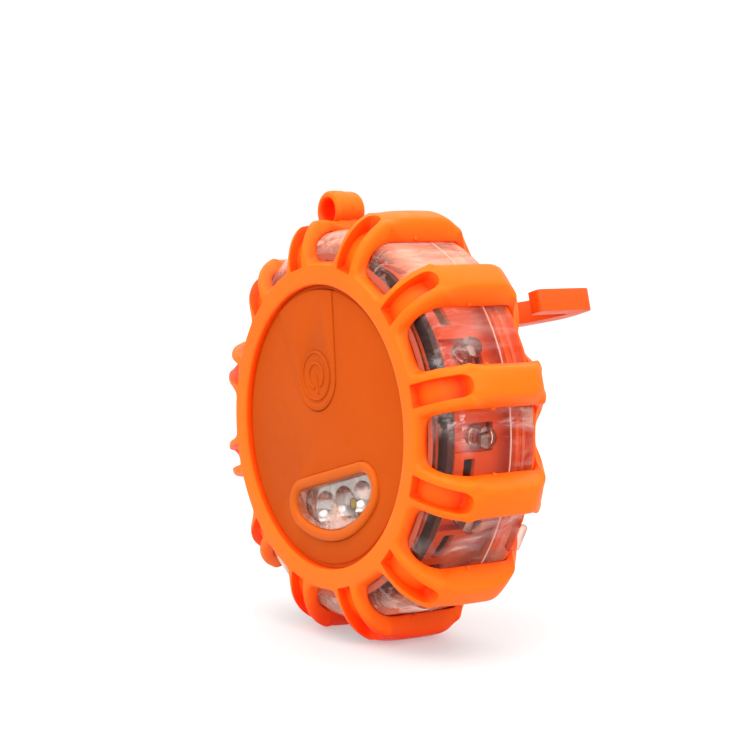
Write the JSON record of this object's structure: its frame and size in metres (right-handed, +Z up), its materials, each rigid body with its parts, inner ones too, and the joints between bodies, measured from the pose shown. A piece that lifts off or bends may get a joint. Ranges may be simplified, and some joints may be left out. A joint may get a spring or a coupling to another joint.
{
  "type": "led safety flare",
  "caption": "Round roadside LED warning flare with a ribbed rubber bumper, clear side lens, front torch, push button, back magnet and fold-out hook.",
  "frame": {"origin": "centre of the magnet's outer face, on the flare's own axis", "axes": "+Y along the flare's axis out of the magnet, +Z up with the flare standing on edge on two ribs, +X to the right seen from the front"},
  "size_m": [0.1014, 0.0602, 0.1062],
  "materials": {
    "soft_rubber": "soft satin moulded rubber",
    "clear_plastic": "clear moulded plastic, polished",
    "orange_plastic": "fine matte moulding grain",
    "button_rubber": "matte",
    "hook_plastic": "satin moulded",
    "reflector_chrome": "bright vacuum-metallised",
    "yellow_phosphor": "yellow phosphor gel",
    "led_epoxy": "water-clear epoxy",
    "board": "solder mask",
    "black_plastic": "moulded epoxy",
    "seal_rubber": "matte",
    "cell_sleeve": "shrink sleeve",
    "plated_steel": "nickel plated",
    "red_wire": "wire insulation",
    "black_wire": "wire insulation",
    "magnet_nickel": "nickel plated",
    "screw_steel": "zinc plated"
  },
  "bodies": {
    "flare": {"bumper_sleeve": "soft_rubber", "lens_shell": "clear_plastic", "front_panel": "orange_plastic", "torch_bezel": "orange_plastic", "torch_window": "clear_plastic", "torch_reflector": "reflector_chrome", "torch_led_1": "yellow_phosphor", "torch_led_2": "yellow_phosphor", "torch_led_3": "yellow_phosphor", "circuit_board": "board", "tact_switch": "black_plastic", "controller_chip": "black_plastic", "driver_transistor": "black_plastic", "ballast_resistor_1": "black_plastic", "ballast_resistor_2": "black_plastic", "side_led_01": "led_epoxy", "side_led_02": "led_epoxy", "side_led_03": "led_epoxy", "side_led_04": "led_epoxy", "side_led_05": "led_epoxy", "side_led_06": "led_epoxy", "side_led_07": "led_epoxy", "side_led_08": "led_epoxy", "side_led_09": "led_epoxy", "side_led_10": "led_epoxy", "side_led_11": "led_epoxy", "side_led_12": "led_epoxy", "led_drum": "orange_plastic", "back_shell": "orange_plastic", "seal_ring": "seal_rubber", "housing_screw_1": "screw_steel", "housing_screw_2": "screw_steel", "housing_screw_3": "screw_steel", "housing_screw_4": "screw_steel", "battery_1": "cell_sleeve", "battery_spring_1": "plated_steel", "battery_2": "cell_sleeve", "battery_spring_2": "plated_steel", "battery_3": "cell_sleeve", "battery_spring_3": "plated_steel", "contact_plate_top_1": "plated_steel", "contact_plate_top_2": "plated_steel", "contact_plate_bottom_1": "plated_steel", "contact_plate_bottom_2": "plated_steel", "battery_lead_positive": "red_wire", "battery_lead_negative": "black_wire", "door_gasket": "seal_rubber", "hook_pin": "screw_steel"},
    "battery_door": {"battery_door": "orange_plastic", "magnet": "magnet_nickel", "door_screw": "screw_steel"},
    "hook": {"hook": "hook_plastic"},
    "power_button": {"power_button": "button_rubber"},
    "switch_plunger": {"switch_plunger": "black_plastic"}
  },
  "joints": [
    {"name": "hook_hinge", "type": "hinge", "parent": "flare", "child": "hook", "pos_m": [0.01326, -0.004, 0.02586], "axis": [-0.9659, 0, -0.2588], "range_deg": [0, 90]},
    {"name": "button_travel", "type": "slide", "parent": "flare", "child": "power_button", "axis": [0, 1, 0], "range_m": [0, 0.0005], "stiffness_N_per_m": 900},
    {"name": "plunger_travel", "type": "slide", "parent": "flare", "child": "switch_plunger", "axis": [0, 1, 0], "range_m": [0, 0.0005]},
    {"name": "battery_door_lift", "type": "slide", "parent": "flare", "child": "battery_door", "axis": [0, 1, 0], "range_m": [0, 0.025]}
  ],
  "couplings": [
    {"joint": "plunger_travel", "follows": "button_travel", "ratio": 1}
  ]
}
